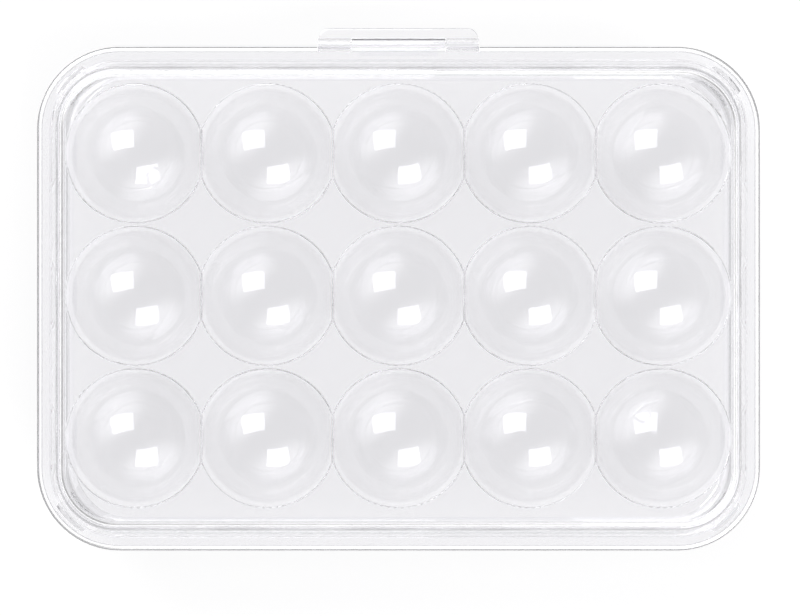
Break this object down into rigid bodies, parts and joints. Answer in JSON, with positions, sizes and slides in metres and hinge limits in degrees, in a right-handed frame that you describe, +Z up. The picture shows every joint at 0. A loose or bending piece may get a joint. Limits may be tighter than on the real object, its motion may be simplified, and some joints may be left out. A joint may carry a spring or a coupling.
{
  "type": "egg keeper",
  "caption": "Clear plastic egg keeper: a tub with rows of round egg cups, a shallow lift-off lid and a wide latch that swings on a pin at one long side.",
  "frame": {"origin": "on the table, below the middle of the part's box, latch included", "axes": "+Z up, X along the long side, +Y towards the latch"},
  "size_m": [0.2394, 0.1742, 0.0664],
  "materials": {
    "clear_plastic": "clear and glossy, colourless"
  },
  "bodies": {
    "base": {"base": "clear_plastic"},
    "lid": {"lid": "clear_plastic", "latch_pin": "clear_plastic"},
    "latch": {"latch": "clear_plastic"}
  },
  "joints": [
    {"name": "lid_lift", "type": "slide", "parent": "base", "child": "lid", "axis": [0, 0, 1], "range_m": [0, 0.07]},
    {"name": "latch_swing", "type": "hinge", "parent": "lid", "child": "latch", "pos_m": [0, 0.08045, 0.05304], "axis": [1, 0, 0], "range_deg": [0, 110]}
  ]
}
